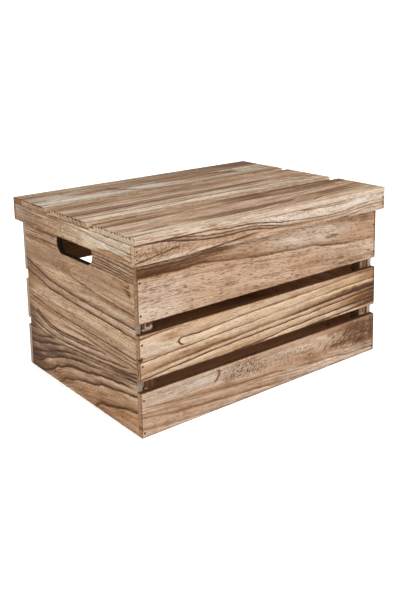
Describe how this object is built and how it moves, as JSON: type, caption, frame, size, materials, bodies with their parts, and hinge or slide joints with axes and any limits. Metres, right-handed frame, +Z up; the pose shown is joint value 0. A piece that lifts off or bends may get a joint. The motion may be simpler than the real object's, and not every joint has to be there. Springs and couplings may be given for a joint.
{
  "type": "kindling box",
  "caption": "Lidded wooden crate for kindling, with boarded sides, air gaps, slot hand holes in the ends and a loose slatted lid on a rim that hangs outside the crate.",
  "frame": {"origin": "on the ground under the middle of the box", "axes": "+X along the length, -Y towards the front long side, +Z up"},
  "size_m": [0.5, 0.3602, 0.288],
  "materials": {
    "panel_wood": "dry, scorched and brushed, unvarnished",
    "side_board_wood": "dry, scorched and brushed, unvarnished",
    "slat_wood": "dry, scorched and brushed, unvarnished",
    "rim_wood": "dry, scorched and brushed, unvarnished",
    "inner_wood": "rough sawn, unvarnished",
    "nail_steel": "dark, dull wire nails"
  },
  "bodies": {
    "crate": {"end_panel_left": "panel_wood", "end_panel_right": "panel_wood", "front_board_top": "side_board_wood", "front_board_middle": "side_board_wood", "front_board_bottom": "side_board_wood", "rear_board_top": "side_board_wood", "rear_board_middle": "side_board_wood", "rear_board_bottom": "side_board_wood", "corner_post_front_left": "inner_wood", "corner_post_front_right": "inner_wood", "corner_post_rear_left": "inner_wood", "corner_post_rear_right": "inner_wood", "base_cleat_left": "inner_wood", "base_cleat_right": "inner_wood", "base_board_front": "inner_wood", "base_board_middle": "inner_wood", "base_board_rear": "inner_wood", "front_nails": "nail_steel", "rear_nails": "nail_steel", "base_nails": "nail_steel"},
    "lid": {"lid_slat_front": "slat_wood", "lid_slat_middle": "slat_wood", "lid_slat_rear": "slat_wood", "lid_rim_front": "rim_wood", "lid_rim_rear": "rim_wood", "lid_rim_left": "rim_wood", "lid_rim_right": "rim_wood", "lid_nails": "nail_steel"}
  },
  "joints": [
    {"name": "lid_lift", "type": "slide", "parent": "crate", "child": "lid", "axis": [0, 0, 1], "range_m": [0, 0.32]}
  ]
}
